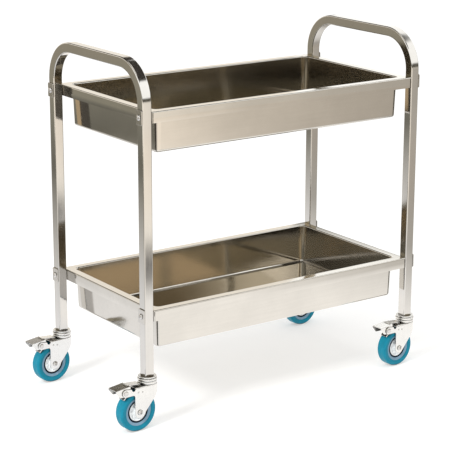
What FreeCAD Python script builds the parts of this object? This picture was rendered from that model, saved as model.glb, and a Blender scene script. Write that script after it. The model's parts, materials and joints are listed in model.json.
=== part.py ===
import FreeCAD, Part
import math
import os

# Two-tray steel trolley on four braked swivel castors.
# Millimetres, +Z up, X along the trays, Y across them, floor at Z = 0.

# ---- End frames ----------------------------------------------------------------------------------
FRAME_LENGTH = 838.0        # outside the two end frames
FRAME_WIDTH = 437.0         # outside the legs
HANDLE_HEIGHT = 893.0       # floor to the top of the handles
TUBE_SIZE = 25.0
TUBE_WALL = 1.5
TUBE_CORNER = 3.0
BEND_RADIUS = 90.0          # to the tube's centre line
LEG_END = 134.5             # floor to the cut end of a leg

# ---- Trays ---------------------------------------------------------------------------------------
UPPER_RIM = 775.0
LOWER_RIM = 294.0
TRAY_SHEET = 1.2
SKIRT_HEIGHT = 27.0
SKIRT_EDGE_RADIUS = 2.5
BASIN_DEPTH = 104.0
BASIN_TOP_INSET = 23.6
BASIN_FLOOR_INSET = 27.7
BASIN_TOP_CORNER = 15.0
BASIN_FLOOR_CORNER = 11.0
BASIN_FLOOR_FILLET = 6.0
CORNER_SLOT = 2.6           # open fold between the side skirt and the end skirt

# ---- Tray joints ---------------------------------------------------------------------------------
JOINT_DROP = 12.0           # bolt centre below the rim
PLATE_HEIGHT = 35.0
PLATE_THICKNESS = 3.0
PLATE_CORNER = 2.0
BOLT_RADIUS = 4.0
BOLT_HOLE_RADIUS = 4.3
BOLT_HEAD_RADIUS = 7.0
BOLT_HEAD_HEIGHT = 4.4
HEX_KEY_FLATS = 5.0
HEX_KEY_DEPTH = 2.4
WASHER_RADIUS = 8.0
WASHER_THICKNESS = 1.6
NUT_FLATS = 13.0
NUT_THICKNESS = 6.5
THREAD_STAND_OUT = 2.0

# ---- Leg inserts and swivel heads ----------------------------------------------------------------
INSERT_FLANGE = 2.0
INSERT_LENGTH = 34.0
STEM_RADIUS = 6.0
STEM_TOP = 160.0
RACE_RADIUS = 22.3
RACE_PLATE = 3.5
RACE_EDGE = 1.5
RACE_SKIRT_RADIUS = 20.5
RACE_SKIRT = 4.5
RACE_SKIRT_WALL = 1.6
BALL_RADIUS = 2.5
BALL_RING_RADIUS = 13.0
BALL_COUNT = 14
KINGPIN_NUT_RADIUS = 9.0
KINGPIN_NUT_HEIGHT = 5.0
RUNNING_GAP = 0.08

# ---- Fork ----------------------------------------------------------------------------------------
CROWN_UNDERSIDE = 111.0
CROWN_TOP = 114.0
CROWN_FRONT = 46.5
HEAD_RADIUS = 24.2          # upper ring of the swivel head
HEAD_TOP = 128.3
HEAD_STEP = 121.5           # groove between the two rings
HEAD_LOWER_RADIUS = 23.2
HEAD_EDGE_RADIUS = 3.0
HEAD_CUP_RADIUS = 21.4      # recess round the upper race's skirt
HEAD_CUP_FLOOR = 123.0
BOSS_RADIUS = 17.5
FORK_GAP = 34.0             # between the cheeks
FORK_SHEET = 2.5
FORK_FRONT = 48.5           # forward of the swivel axis
FORK_EYE_RADIUS = 13.7
FORK_REAR = -25.0
FORK_REAR_TOP = 101.0
FORK_REAR_KNEE = (-12.0, 84.0)
ARM_UNDERSIDE = 96.5
ARM_TOP = 113.0
ARM_ROOT = 58.5
ARM_NOTCH = ((55.5, 107.5), (49.5, 106.5))  # open dip between the arm and the crown
PIVOT_FORWARD = 74.5
PIVOT_HEIGHT = 106.0
ARM_EYE_RADIUS = 9.5
PIVOT_RADIUS = 4.0
PIVOT_HEAD_RADIUS = 6.2
PIVOT_HEAD_HEIGHT = 1.8
CHEEK_RIVETS = ((39.0, 101.5), (27.0, 100.0))
CHEEK_RIVET_RADIUS = 1.3
CHEEK_RIVET_HEAD = 2.2
CHEEK_RIVET_HEIGHT = 0.9

# ---- Wheel ---------------------------------------------------------------------------------------
WHEEL_RADIUS = 50.0
TRAIL = 34.8                # swivel axis to axle
TREAD_WIDTH = 29.4
TREAD_SHOULDER = 5.5
TYRE_BORE_RADIUS = 36.0
TYRE_SIDE_WIDTH = 26.0      # across the sidewalls at the tyre's bore
BAND_BORE_RADIUS = 29.0
BAND_INNER_WIDTH = 21.0
SEAL_INNER_RADIUS = 24.6
SEAL_DEPTH = 3.0
CENTRE_RIM_INNER = 22.0
CENTRE_RIM_WIDTH = 20.0
CENTRE_WEB_WIDTH = 9.0
HUB_RADIUS = 11.5
HUB_WIDTH = 32.0
RIB_COUNT = 8
RIB_THICKNESS = 2.0
RIB_WIDTH = 15.0
AXLE_RADIUS = 4.0
AXLE_HEAD_RADIUS = 7.0
AXLE_HEAD_HEIGHT = 4.4
AXLE_NUT_THICKNESS = 6.5
BUSH_RADIUS = 6.0

# ---- Brake ---------------------------------------------------------------------------------------
PEDAL_HALF_WIDTH = 16.8
PEDAL_SHEET = 1.5
PEDAL_HEEL = (60.0, 121.0)
PEDAL_TOE = (101.0, 116.6)
PEDAL_LIP = 5.6
PEDAL_FLANGE_FRONT = (89.0, 98.0)
PEDAL_FLANGE_REAR = (66.0, 97.0)
PEDAL_HEEL_DROP = 10.0
TAB_HALF_WIDTH = 10.5
TAB_REAR = (27.0, 119.2)
TAB_FRONT = (66.0, 122.6)
TAB_SHEET = 1.6
SHOE_CLEARANCE = 3.0
SHOE_THICKNESS = 2.5
SHOE_HALF_WIDTH = 10.0
SHOE_START_ANGLE = 42.0
SHOE_END_ANGLE = 60.0
SHOE_WEB = (63.0, 69.0)

# ---- Castor places: name, end of the frame, side of the frame, heading of the wheel --------------
CASTORS = (
    ("front_left", -1, -1, 182.7),
    ("back_left", -1, 1, 183.9),
    ("front_right", 1, -1, 184.0),
    ("back_right", 1, 1, 183.5),
)

HALF_LENGTH = FRAME_LENGTH / 2
HALF_WIDTH = FRAME_WIDTH / 2
LEG_X = HALF_LENGTH - TUBE_SIZE / 2
LEG_Y = HALF_WIDTH - TUBE_SIZE / 2
TRAY_HALF = HALF_LENGTH - TUBE_SIZE
RACE_UNDERSIDE = LEG_END - INSERT_FLANGE - RACE_PLATE
BOSS_TOP = RACE_UNDERSIDE - 2 * BALL_RADIUS - RUNNING_GAP
CHEEK_INNER = FORK_GAP / 2
CHEEK_OUTER = CHEEK_INNER + FORK_SHEET
X_AXIS = FreeCAD.Vector(1, 0, 0)
Y_AXIS = FreeCAD.Vector(0, 1, 0)
Z_AXIS = FreeCAD.Vector(0, 0, 1)
ENDS = (-1, 1)


def vec(x, y, z):
    return FreeCAD.Vector(x, y, z)


# ---- General shapes ------------------------------------------------------------------------------
def closed_wire(points):
    """Closed straight-sided outline."""
    return Part.makePolygon(list(points) + [points[0]])


def rounded_rectangle(size_x, size_y, radius, z):
    """Closed outline with rounded corners, level at z and centred on the Z axis."""
    hx, hy = size_x / 2, size_y / 2
    edges = []
    corners = ((1, 1, 0), (-1, 1, 90), (-1, -1, 180), (1, -1, 270))
    ends = []
    for sx, sy, start in corners:
        centre = vec(sx * (hx - radius), sy * (hy - radius), z)
        arc = Part.makeCircle(radius, centre, Z_AXIS, start, start + 90)
        edges.append(arc)
        ends.append((arc.Vertexes[0].Point, arc.Vertexes[-1].Point))
    outline = []
    for index, arc in enumerate(edges):
        outline.append(arc)
        following = ends[(index + 1) % len(ends)][0]
        outline.append(Part.makeLine(ends[index][1], following))
    return Part.Wire(outline)


def box_between(low, high):
    """Box from its low corner to its high corner."""
    size = [b - a for a, b in zip(low, high)]
    return Part.makeBox(size[0], size[1], size[2], vec(*low))


def cylinder(radius, start, axis, length):
    return Part.makeCylinder(radius, length, start, axis)


def hexagon_prism(flats, start, axis, length):
    """Hexagonal prism; its first corner lies square to its axis."""
    side = Z_AXIS if abs(axis.z) < 0.5 else X_AXIS
    across = axis.cross(side)
    radius = flats / math.sqrt(3)
    points = []
    for step in range(6):
        angle = math.radians(60 * step)
        points.append(start + side * (radius * math.cos(angle)) + across * (radius * math.sin(angle)))
    return Part.Face(closed_wire(points)).extrude(axis * length)


def dome_head(radius, height, centre, axis):
    """Button head: a spherical cap on a flat seat."""
    sphere_radius = (radius * radius + height * height) / (2 * height)
    sphere = Part.makeSphere(sphere_radius, centre + axis * (height - sphere_radius))
    return sphere.common(cylinder(radius, centre, axis, height))


def turned(profile, centre, axis, turned_from):
    """Solid of revolution. The profile is a list of (radius, station along the axis)."""
    points = [centre + turned_from * r + axis * s for r, s in profile]
    return Part.Face(closed_wire(points)).revolve(centre, axis, 360)


def filleted(shape, radius, chosen):
    """Round the edges for which chosen(edge) is true."""
    return shape.makeFillet(radius, [edge for edge in shape.Edges if chosen(edge)])


def level_at(edge, z):
    box = edge.BoundBox
    return abs(box.ZMin - z) < 0.01 and abs(box.ZMax - z) < 0.01


def hollow(outside, inside):
    return outside.cut(inside)


# ---- End frames ----------------------------------------------------------------------------------
def frame_sweep(size, corner, leg_end):
    """Square section swept up one leg, over the handle and down the other leg."""
    top = HANDLE_HEIGHT - TUBE_SIZE / 2
    bend_z = top - BEND_RADIUS
    bend_y = LEG_Y - BEND_RADIUS
    rear = Part.makeCircle(BEND_RADIUS, vec(0, bend_y, bend_z), X_AXIS, 0, 90)
    front = Part.makeCircle(BEND_RADIUS, vec(0, -bend_y, bend_z), X_AXIS, 90, 180)
    path = Part.Wire([
        Part.makeLine(vec(0, LEG_Y, leg_end), vec(0, LEG_Y, bend_z)),
        rear,
        Part.makeLine(vec(0, bend_y, top), vec(0, -bend_y, top)),
        front,
        Part.makeLine(vec(0, -LEG_Y, bend_z), vec(0, -LEG_Y, leg_end)),
    ])
    section = rounded_rectangle(size, size, corner, leg_end)
    section.translate(vec(0, LEG_Y, 0))
    return path.makePipeShell([section], True, False)


def end_frame(end):
    """One bent tube: two legs and a push handle, drilled for the tray bolts."""
    bore_size = TUBE_SIZE - 2 * TUBE_WALL
    outside = frame_sweep(TUBE_SIZE, TUBE_CORNER, LEG_END)
    inside = frame_sweep(bore_size, TUBE_CORNER - TUBE_WALL, LEG_END)
    tube = hollow(outside, inside)
    for side in ENDS:
        for rim in (UPPER_RIM, LOWER_RIM):
            start = vec(-TUBE_SIZE, side * LEG_Y, rim - JOINT_DROP)
            tube = tube.cut(cylinder(BOLT_HOLE_RADIUS, start, X_AXIS, 2 * TUBE_SIZE))
    tube.translate(vec(end * LEG_X, 0, 0))
    return tube


# ---- Trays ---------------------------------------------------------------------------------------
def basin_block(rim, inset_top, inset_floor, corner_change, floor_z, fillet):
    """Tapered block with rounded corners and a rounded lower edge."""
    wires = []
    for inset, corner, z in (
        (inset_top, BASIN_TOP_CORNER, rim),
        (inset_floor, BASIN_FLOOR_CORNER, floor_z),
    ):
        wires.append(rounded_rectangle(
            2 * (TRAY_HALF - inset), 2 * (HALF_WIDTH - inset), corner + corner_change, z))
    block = Part.makeLoft(wires, True, True)
    return filleted(block, fillet, lambda edge: level_at(edge, floor_z))


def skirt_block(rim, inset, radius):
    """Box that the rim and skirt wrap round, with a rounded upper edge."""
    low = (-TRAY_HALF + inset, -HALF_WIDTH + inset, rim - SKIRT_HEIGHT)
    high = (TRAY_HALF - inset, HALF_WIDTH - inset, rim - inset)
    block = box_between(low, high)
    return filleted(block, radius, lambda edge: level_at(edge, rim - inset))


def tray(rim):
    """Deep basin, flat rim and turned-down skirt in one sheet."""
    floor = rim - BASIN_DEPTH
    cap = hollow(
        skirt_block(rim, 0.0, SKIRT_EDGE_RADIUS),
        skirt_block(rim, TRAY_SHEET, SKIRT_EDGE_RADIUS - TRAY_SHEET))
    outside = basin_block(
        rim, BASIN_TOP_INSET - TRAY_SHEET, BASIN_FLOOR_INSET - TRAY_SHEET, TRAY_SHEET,
        floor - TRAY_SHEET, BASIN_FLOOR_FILLET + TRAY_SHEET)
    inside = basin_block(
        rim, BASIN_TOP_INSET, BASIN_FLOOR_INSET, 0.0, floor, BASIN_FLOOR_FILLET)
    sheet = cap.fuse(outside).cut(inside).removeSplitter()
    slot_top = rim - SKIRT_EDGE_RADIUS - TRAY_SHEET
    for end in ENDS:
        for side in ENDS:
            x_low, x_high = sorted((
                end * (TRAY_HALF - TRAY_SHEET), end * (TRAY_HALF - TRAY_SHEET - CORNER_SLOT)))
            y_low, y_high = sorted((side * (HALF_WIDTH - 2 * TRAY_SHEET), side * (HALF_WIDTH + 1.0)))
            slot = box_between(
                (x_low, y_low, rim - SKIRT_HEIGHT - 1.0), (x_high, y_high, slot_top))
            start = vec(end * (TRAY_HALF + 1.0), side * LEG_Y, rim - JOINT_DROP)
            hole = cylinder(BOLT_HOLE_RADIUS, start, X_AXIS * -end, 4 * TRAY_SHEET)
            sheet = sheet.cut(slot).cut(hole)
    return sheet


# ---- Tray joints ---------------------------------------------------------------------------------
def joint_places():
    """Each bolt's seat on the leg's outer face and the outward direction."""
    for rim in (UPPER_RIM, LOWER_RIM):
        for end in ENDS:
            for side in ENDS:
                seat = vec(end * HALF_LENGTH, side * LEG_Y, rim - JOINT_DROP)
                yield seat, X_AXIS * end


def joint_plate(seat, outward):
    half = TUBE_SIZE / 2
    low = vec(0, -half, -PLATE_HEIGHT / 2)
    plate = Part.makeBox(PLATE_THICKNESS, TUBE_SIZE, PLATE_HEIGHT, low)
    plate = filleted(plate, PLATE_CORNER, lambda edge: edge.BoundBox.XLength > PLATE_THICKNESS / 2)
    plate = plate.cut(cylinder(BOLT_HOLE_RADIUS, vec(-1, 0, 0), X_AXIS, 2 * PLATE_THICKNESS))
    if outward.x < 0:
        plate.translate(vec(-PLATE_THICKNESS, 0, 0))
    plate.translate(seat)
    return plate


def joint_bolt(seat, outward):
    face = seat + outward * PLATE_THICKNESS
    grip = PLATE_THICKNESS + TUBE_SIZE + TRAY_SHEET + WASHER_THICKNESS + NUT_THICKNESS
    head = dome_head(BOLT_HEAD_RADIUS, BOLT_HEAD_HEIGHT, face, outward)
    key = hexagon_prism(
        HEX_KEY_FLATS, face + outward * (BOLT_HEAD_HEIGHT - HEX_KEY_DEPTH), outward, BOLT_HEAD_HEIGHT)
    shank = cylinder(BOLT_RADIUS, face, outward * -1, grip + THREAD_STAND_OUT)
    return head.fuse(shank).cut(key)


def joint_washer(seat, outward):
    start = seat - outward * (TUBE_SIZE + TRAY_SHEET)
    disc = cylinder(WASHER_RADIUS, start, outward * -1, WASHER_THICKNESS)
    return disc.cut(cylinder(BOLT_HOLE_RADIUS, start, outward * -1, WASHER_THICKNESS))


def joint_nut(seat, outward):
    start = seat - outward * (TUBE_SIZE + TRAY_SHEET + WASHER_THICKNESS)
    nut = hexagon_prism(NUT_FLATS, start, outward * -1, NUT_THICKNESS)
    return nut.cut(cylinder(BOLT_RADIUS, start, outward * -1, NUT_THICKNESS))


# ---- Leg inserts and swivel heads, on the Z axis -------------------------------------------------
def leg_insert():
    """Plug inside the leg with a square flange under its cut end."""
    bore = TUBE_SIZE - 2 * TUBE_WALL
    corner = TUBE_CORNER - TUBE_WALL
    plug = Part.Face(rounded_rectangle(bore, bore, corner, LEG_END))
    flange = Part.Face(rounded_rectangle(TUBE_SIZE, TUBE_SIZE, TUBE_CORNER, LEG_END - INSERT_FLANGE))
    body = plug.extrude(Z_AXIS * INSERT_LENGTH).fuse(flange.extrude(Z_AXIS * INSERT_FLANGE))
    return body.cut(cylinder(STEM_RADIUS, vec(0, 0, 0), Z_AXIS, STEM_TOP))


def castor_stem():
    """Threaded stem, upper ball race and the kingpin with its nut under the crown."""
    race_top = LEG_END - INSERT_FLANGE
    skirt_bottom = RACE_UNDERSIDE - RACE_SKIRT
    inner = RACE_SKIRT_RADIUS - RACE_SKIRT_WALL
    race = turned(
        [(0, race_top), (RACE_RADIUS - RACE_EDGE, race_top), (RACE_RADIUS, race_top - RACE_EDGE),
         (RACE_RADIUS, RACE_UNDERSIDE), (RACE_SKIRT_RADIUS, RACE_UNDERSIDE),
         (RACE_SKIRT_RADIUS, skirt_bottom), (inner, skirt_bottom), (inner, RACE_UNDERSIDE),
         (0, RACE_UNDERSIDE)],
        vec(0, 0, 0), Z_AXIS, X_AXIS)
    nut_bottom = CROWN_UNDERSIDE - RUNNING_GAP - KINGPIN_NUT_HEIGHT
    pin = cylinder(STEM_RADIUS, vec(0, 0, nut_bottom), Z_AXIS, STEM_TOP - nut_bottom)
    nut = cylinder(KINGPIN_NUT_RADIUS, vec(0, 0, nut_bottom), Z_AXIS, KINGPIN_NUT_HEIGHT)
    return race.fuse(pin).fuse(nut).removeSplitter()


def swivel_balls():
    height = RACE_UNDERSIDE - BALL_RADIUS
    balls = []
    for index in range(BALL_COUNT):
        angle = 2 * math.pi * index / BALL_COUNT
        place = vec(BALL_RING_RADIUS * math.cos(angle), BALL_RING_RADIUS * math.sin(angle), height)
        balls.append(Part.makeSphere(BALL_RADIUS, place))
    return balls


# ---- Fork: X forward to the axle, Y across, swivel axis on Z -------------------------------------
def tangent_from(point, centre, radius):
    """Lower tangent point on a circle for a line from a point behind it."""
    dx, dz = centre[0] - point[0], centre[1] - point[1]
    distance = math.hypot(dx, dz)
    angle = math.atan2(dz, dx) - math.asin(radius / distance)
    length = math.sqrt(distance * distance - radius * radius)
    return point[0] + length * math.cos(angle), point[1] + length * math.sin(angle)


def side_point(forward, height):
    return vec(forward, 0, height)


def cheek_outline():
    """Cheek and brake arm seen from the side."""
    eye = (TRAIL, WHEEL_RADIUS)
    touch = tangent_from(FORK_REAR_KNEE, eye, FORK_EYE_RADIUS)
    eye_bottom = side_point(TRAIL + FORK_EYE_RADIUS * 0.5, WHEEL_RADIUS - FORK_EYE_RADIUS * math.sqrt(0.75))
    arm_low = side_point(PIVOT_FORWARD, PIVOT_HEIGHT - ARM_EYE_RADIUS)
    arm_end = side_point(PIVOT_FORWARD + ARM_EYE_RADIUS, PIVOT_HEIGHT)
    arm_high = side_point(PIVOT_FORWARD, PIVOT_HEIGHT + ARM_EYE_RADIUS)
    front = side_point(FORK_FRONT, WHEEL_RADIUS)
    corners = [
        front, side_point(FORK_FRONT, ARM_UNDERSIDE), arm_low]
    back = [arm_high, side_point(ARM_ROOT, ARM_TOP)]
    back += [side_point(*point) for point in ARM_NOTCH]
    back += [
        side_point(CROWN_FRONT, CROWN_TOP), side_point(FORK_REAR, CROWN_TOP),
        side_point(FORK_REAR, FORK_REAR_TOP), side_point(*FORK_REAR_KNEE), side_point(*touch)]
    edges = [Part.makeLine(a, b) for a, b in zip(corners, corners[1:])]
    edges.append(Part.Arc(arm_low, arm_end, arm_high).toShape())
    edges += [Part.makeLine(a, b) for a, b in zip(back, back[1:])]
    edges.append(Part.Arc(side_point(*touch), eye_bottom, front).toShape())
    return Part.Wire(edges)


def through_hole(radius, forward, height):
    start = vec(forward, -2 * CHEEK_OUTER, height)
    return cylinder(radius, start, Y_AXIS, 4 * CHEEK_OUTER)


def rounded_disc(radius, low, high):
    """Level disc on the swivel axis with rounded rims."""
    disc = cylinder(radius, vec(0, 0, low), Z_AXIS, high - low)
    return disc.makeFillet(HEAD_EDGE_RADIUS, [edge for edge in disc.Edges if edge.Closed])


def swivel_head():
    """Two stacked rings, the upper one hollowed for the race's skirt round a central boss."""
    upper = rounded_disc(HEAD_RADIUS, HEAD_STEP, HEAD_TOP)
    upper = upper.cut(cylinder(HEAD_CUP_RADIUS, vec(0, 0, HEAD_CUP_FLOOR), Z_AXIS, HEAD_TOP))
    head = upper.fuse(rounded_disc(HEAD_LOWER_RADIUS, CROWN_TOP, HEAD_STEP + HEAD_EDGE_RADIUS / 4))
    boss = cylinder(BOSS_RADIUS, vec(0, 0, CROWN_TOP), Z_AXIS, BOSS_TOP - CROWN_TOP)
    return head.fuse(boss)


def fork():
    """Pressed fork: swivel head, crown, two cheeks joined round the back, and two brake arms."""
    side = Part.Face(cheek_outline())
    block = side.extrude(Y_AXIS * (2 * CHEEK_OUTER))
    block.translate(vec(0, -CHEEK_OUTER, 0))
    round_centre = FORK_REAR + CHEEK_OUTER
    window = box_between((round_centre, -CHEEK_INNER, 0), (FRAME_WIDTH, CHEEK_INNER, CROWN_UNDERSIDE))
    window = window.fuse(cylinder(CHEEK_INNER, vec(round_centre, 0, 0), Z_AXIS, CROWN_UNDERSIDE))
    arm_window = box_between(
        (CROWN_FRONT, -CHEEK_INNER, 0), (FRAME_WIDTH, CHEEK_INNER, FRAME_WIDTH))
    plan = cylinder(CHEEK_OUTER, vec(round_centre, 0, 0), Z_AXIS, HEAD_TOP)
    plan = plan.fuse(box_between((round_centre, -CHEEK_OUTER, 0), (FRAME_WIDTH, CHEEK_OUTER, HEAD_TOP)))
    body = block.common(plan).cut(window).cut(arm_window)
    neck = cylinder(
        CHEEK_INNER, vec(0, 0, CROWN_UNDERSIDE), Z_AXIS, HEAD_STEP - CROWN_UNDERSIDE)
    body = body.fuse(swivel_head()).fuse(neck)
    body = body.cut(cylinder(STEM_RADIUS + RUNNING_GAP, vec(0, 0, 0), Z_AXIS, LEG_END))
    body = body.cut(through_hole(AXLE_RADIUS, TRAIL, WHEEL_RADIUS))
    body = body.cut(through_hole(PIVOT_RADIUS, PIVOT_FORWARD, PIVOT_HEIGHT))
    for forward, height in CHEEK_RIVETS:
        body = body.cut(through_hole(CHEEK_RIVET_RADIUS, forward, height))
    return body.removeSplitter()


def fork_rivets():
    """Pedal pivot rivet and the small rivets in each cheek."""
    start = vec(PIVOT_FORWARD, -CHEEK_OUTER, PIVOT_HEIGHT)
    pivot = cylinder(PIVOT_RADIUS, start, Y_AXIS, 2 * CHEEK_OUTER)
    for side in ENDS:
        seat = vec(PIVOT_FORWARD, side * CHEEK_OUTER, PIVOT_HEIGHT)
        pivot = pivot.fuse(dome_head(PIVOT_HEAD_RADIUS, PIVOT_HEAD_HEIGHT, seat, Y_AXIS * side))
    rivets = [pivot]
    for forward, height in CHEEK_RIVETS:
        for side in ENDS:
            seat = vec(forward, side * CHEEK_OUTER, height)
            shank = cylinder(CHEEK_RIVET_RADIUS, seat, Y_AXIS * -side, FORK_SHEET)
            head = dome_head(CHEEK_RIVET_HEAD, CHEEK_RIVET_HEIGHT, seat, Y_AXIS * side)
            rivets.append(shank.fuse(head))
    return rivets


def axle_bolt():
    seat = vec(TRAIL, CHEEK_OUTER, WHEEL_RADIUS)
    head = dome_head(AXLE_HEAD_RADIUS, AXLE_HEAD_HEIGHT, seat, Y_AXIS)
    key = hexagon_prism(
        HEX_KEY_FLATS, seat + Y_AXIS * (AXLE_HEAD_HEIGHT - HEX_KEY_DEPTH), Y_AXIS, AXLE_HEAD_HEIGHT)
    length = 2 * CHEEK_OUTER + AXLE_NUT_THICKNESS + THREAD_STAND_OUT
    return head.fuse(cylinder(AXLE_RADIUS, seat, Y_AXIS * -1, length)).cut(key)


def axle_nut():
    start = vec(TRAIL, -CHEEK_OUTER, WHEEL_RADIUS)
    nut = hexagon_prism(NUT_FLATS, start, Y_AXIS * -1, AXLE_NUT_THICKNESS)
    return nut.cut(cylinder(AXLE_RADIUS, start, Y_AXIS * -1, AXLE_NUT_THICKNESS))


def axle_bush():
    start = vec(TRAIL, -CHEEK_INNER, WHEEL_RADIUS)
    tube = cylinder(BUSH_RADIUS, start, Y_AXIS, FORK_GAP)
    return tube.cut(cylinder(AXLE_RADIUS, start, Y_AXIS, FORK_GAP))


# ---- Wheel ---------------------------------------------------------------------------------------
def wheel_turned(profile):
    """Wheel part turned about the axle from (radius, half station) pairs on one side."""
    mirrored = [(r, -s) for r, s in reversed(profile)]
    return turned(profile + mirrored, vec(TRAIL, 0, WHEEL_RADIUS), Y_AXIS, Z_AXIS)


def wheel_centre():
    """Moulded centre: hub, ribbed web and rim."""
    bore = BUSH_RADIUS + RUNNING_GAP
    step = CENTRE_RIM_WIDTH / 2 - SEAL_DEPTH
    body = wheel_turned([
        (bore, HUB_WIDTH / 2), (HUB_RADIUS, HUB_WIDTH / 2), (HUB_RADIUS + 0.8, CENTRE_WEB_WIDTH / 2),
        (CENTRE_RIM_INNER, CENTRE_WEB_WIDTH / 2), (CENTRE_RIM_INNER + 0.6, CENTRE_RIM_WIDTH / 2),
        (SEAL_INNER_RADIUS, CENTRE_RIM_WIDTH / 2), (SEAL_INNER_RADIUS, step),
        (BAND_BORE_RADIUS, step)])
    for index in range(RIB_COUNT):
        rib = box_between(
            (HUB_RADIUS - 0.5, -RIB_WIDTH / 2, -RIB_THICKNESS / 2),
            (CENTRE_RIM_INNER + 0.3, RIB_WIDTH / 2, RIB_THICKNESS / 2))
        rib.rotate(vec(0, 0, 0), Y_AXIS, 360 * index / RIB_COUNT)
        rib.translate(vec(TRAIL, 0, WHEEL_RADIUS))
        body = body.fuse(rib)
    return body.removeSplitter()


def seal_rings():
    """Thin ring on each face between the wheel centre and the rim band."""
    rings = []
    for side in ENDS:
        start = vec(TRAIL, side * CENTRE_RIM_WIDTH / 2, WHEEL_RADIUS)
        ring = cylinder(BAND_BORE_RADIUS, start, Y_AXIS * -side, SEAL_DEPTH)
        rings.append(ring.cut(cylinder(SEAL_INNER_RADIUS, start, Y_AXIS * -side, SEAL_DEPTH)))
    return rings


def rim_band():
    return wheel_turned([
        (BAND_BORE_RADIUS, BAND_INNER_WIDTH / 2), (TYRE_BORE_RADIUS, TYRE_SIDE_WIDTH / 2 - 0.4)])


def tyre():
    """Solid tyre with rounded shoulders."""
    half = TREAD_WIDTH / 2
    shoulder_centre = WHEEL_RADIUS - TREAD_SHOULDER
    centre = vec(TRAIL, 0, WHEEL_RADIUS)

    def at(radius, station):
        return centre + Z_AXIS * radius + Y_AXIS * station

    slant = TREAD_SHOULDER * math.sqrt(0.5)
    edges = [Part.makeLine(at(TYRE_BORE_RADIUS, -TYRE_SIDE_WIDTH / 2), at(TYRE_BORE_RADIUS, TYRE_SIDE_WIDTH / 2))]
    edges.append(Part.makeLine(at(TYRE_BORE_RADIUS, TYRE_SIDE_WIDTH / 2), at(shoulder_centre, half)))
    edges.append(Part.Arc(
        at(shoulder_centre, half),
        at(shoulder_centre + slant, half - TREAD_SHOULDER + slant),
        at(WHEEL_RADIUS, half - TREAD_SHOULDER)).toShape())
    edges.append(Part.makeLine(
        at(WHEEL_RADIUS, half - TREAD_SHOULDER), at(WHEEL_RADIUS, TREAD_SHOULDER - half)))
    edges.append(Part.Arc(
        at(WHEEL_RADIUS, TREAD_SHOULDER - half),
        at(shoulder_centre + slant, TREAD_SHOULDER - half - slant),
        at(shoulder_centre, -half)).toShape())
    edges.append(Part.makeLine(at(shoulder_centre, -half), at(TYRE_BORE_RADIUS, -TYRE_SIDE_WIDTH / 2)))
    return Part.Face(Part.Wire(edges)).revolve(centre, Y_AXIS, 360)


# ---- Brake ---------------------------------------------------------------------------------------
def pedal_outline(drop):
    """Pedal seen from the side, with its top surface lowered by drop."""
    heel_x, heel_z = PEDAL_HEEL
    toe_x, toe_z = PEDAL_TOE
    return [
        side_point(heel_x, heel_z - drop), side_point(toe_x, toe_z - drop),
        side_point(toe_x, toe_z - PEDAL_LIP), side_point(*PEDAL_FLANGE_FRONT),
        side_point(*PEDAL_FLANGE_REAR), side_point(heel_x, heel_z - PEDAL_HEEL_DROP)]


def brake_pedal():
    """Inverted channel that turns on the pivot rivet between the brake arms."""
    outer = Part.Face(closed_wire(pedal_outline(0.0))).extrude(Y_AXIS * (2 * PEDAL_HALF_WIDTH))
    outer.translate(vec(0, -PEDAL_HALF_WIDTH, 0))
    inner_half = PEDAL_HALF_WIDTH - PEDAL_SHEET
    heel_x, heel_z = PEDAL_HEEL
    toe_x, toe_z = PEDAL_TOE
    slope = (toe_z - heel_z) / (toe_x - heel_x)
    reach = 10.0
    inside = [
        side_point(heel_x - reach, heel_z - slope * reach - PEDAL_SHEET),
        side_point(toe_x + reach, toe_z + slope * reach - PEDAL_SHEET),
        side_point(toe_x + reach, 0), side_point(heel_x - reach, 0)]
    channel = Part.Face(closed_wire(inside)).extrude(Y_AXIS * (2 * inner_half))
    channel.translate(vec(0, -inner_half, 0))
    pedal = outer.cut(channel)
    return pedal.cut(through_hole(PIVOT_RADIUS + RUNNING_GAP, PIVOT_FORWARD, PIVOT_HEIGHT))


def release_tab():
    """Narrow raised plate on the pedal's heel, reaching back over the wheel."""
    rear_x, rear_z = TAB_REAR
    front_x, front_z = TAB_FRONT
    heel_x, heel_z = PEDAL_HEEL
    toe_x, toe_z = PEDAL_TOE
    seat = heel_z + (front_x - heel_x) * (toe_z - heel_z) / (toe_x - heel_x)
    outline = [
        side_point(rear_x, rear_z), side_point(front_x, front_z), side_point(front_x, seat),
        side_point(heel_x, heel_z), side_point(heel_x - 1.0, front_z - TAB_SHEET - 0.9),
        side_point(rear_x, rear_z - TAB_SHEET)]
    plate = Part.Face(closed_wire(outline)).extrude(Y_AXIS * (2 * TAB_HALF_WIDTH))
    plate.translate(vec(0, -TAB_HALF_WIDTH, 0))
    return plate


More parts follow.
